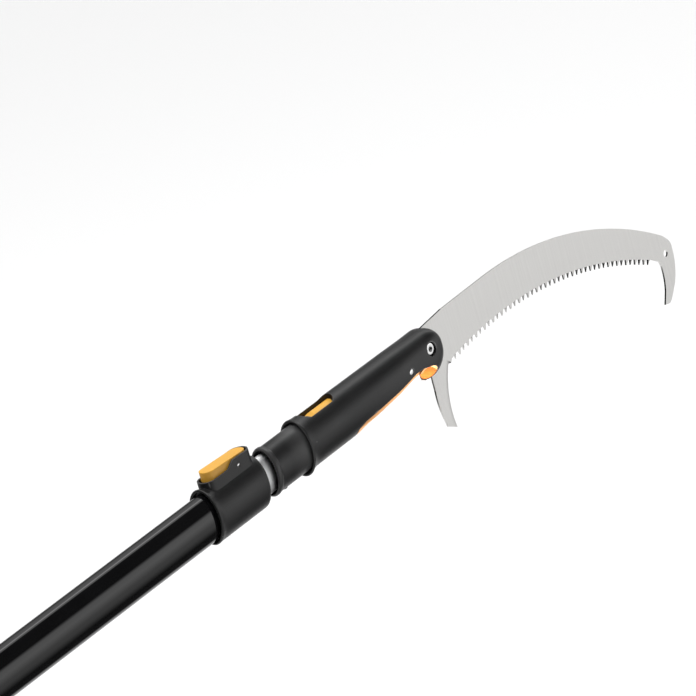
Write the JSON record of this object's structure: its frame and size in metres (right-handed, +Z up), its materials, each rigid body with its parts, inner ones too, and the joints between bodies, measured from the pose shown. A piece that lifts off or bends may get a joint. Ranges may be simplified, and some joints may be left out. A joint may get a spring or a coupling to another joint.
{
  "type": "telescoping pole saw",
  "caption": "Two-stage oval telescoping pole with a cam-lever clamp and a latched head that carries a fixed, curved, hooked pruning blade.",
  "frame": {"origin": "centre of the hang hole through the end cap, on the pole's axis", "axes": "+X along the pole towards the blade, +Z up, away from the teeth and the sickle hook, +Y across the pole along the hang hole"},
  "size_m": [1.8665, 0.0308, 0.1351],
  "materials": {
    "coated_tube": "gloss",
    "bare_tube": "satin",
    "black_plastic": "satin",
    "dark_plastic": "matte",
    "bushing_plastic": "satin",
    "orange_plastic": "satin",
    "orange_liner": "matte",
    "grip_rubber": "matte",
    "pad_rubber": "matte",
    "bright_steel": "polished",
    "black_steel": "satin",
    "blade_steel": "brushed"
  },
  "bodies": {
    "handle": {"outer_tube": "coated_tube", "hand_grip": "grip_rubber", "end_cap": "black_plastic", "end_cap_screw": "bright_steel", "clamp_collar": "black_plastic", "collar_bushing": "bushing_plastic", "collar_screw": "bright_steel", "lever_pin": "bright_steel"},
    "lever": {"cam_lever": "orange_plastic"},
    "brake": {"brake_shoe": "dark_plastic", "shoe_pad": "pad_rubber"},
    "extension": {"inner_tube": "bare_tube", "tube_guide": "dark_plastic", "guide_pin": "bright_steel", "adapter": "black_plastic", "adapter_rivet": "black_steel", "latch_spring": "bright_steel", "head_housing": "black_plastic", "grip_liner": "orange_liner", "saw_blade": "blade_steel", "blade_bolt": "bright_steel", "blade_nut": "bright_steel", "locating_pin": "bright_steel"},
    "latch": {"latch_button": "orange_plastic"}
  },
  "joints": [
    {"name": "telescope", "type": "slide", "parent": "handle", "child": "extension", "axis": [1, 0, 0], "range_m": [-0.009, 1]},
    {"name": "lever_pivot", "type": "hinge", "parent": "handle", "child": "lever", "pos_m": [1.265, 0, 0.024], "axis": [0, 1, 0], "range_deg": [0, 28]},
    {"name": "brake_lift", "type": "slide", "parent": "handle", "child": "brake", "axis": [0, 0, 1], "range_m": [0, 0.001]},
    {"name": "latch_press", "type": "slide", "parent": "extension", "child": "latch", "axis": [0, 0, -1], "range_m": [0, 0.003], "stiffness_N_per_m": 2000, "springref_m": -0.002, "deforming": ["latch_spring"]}
  ],
  "couplings": [
    {"joint": "brake_lift", "follows": "lever_pivot", "m_per_rad": 0.0020463}
  ]
}
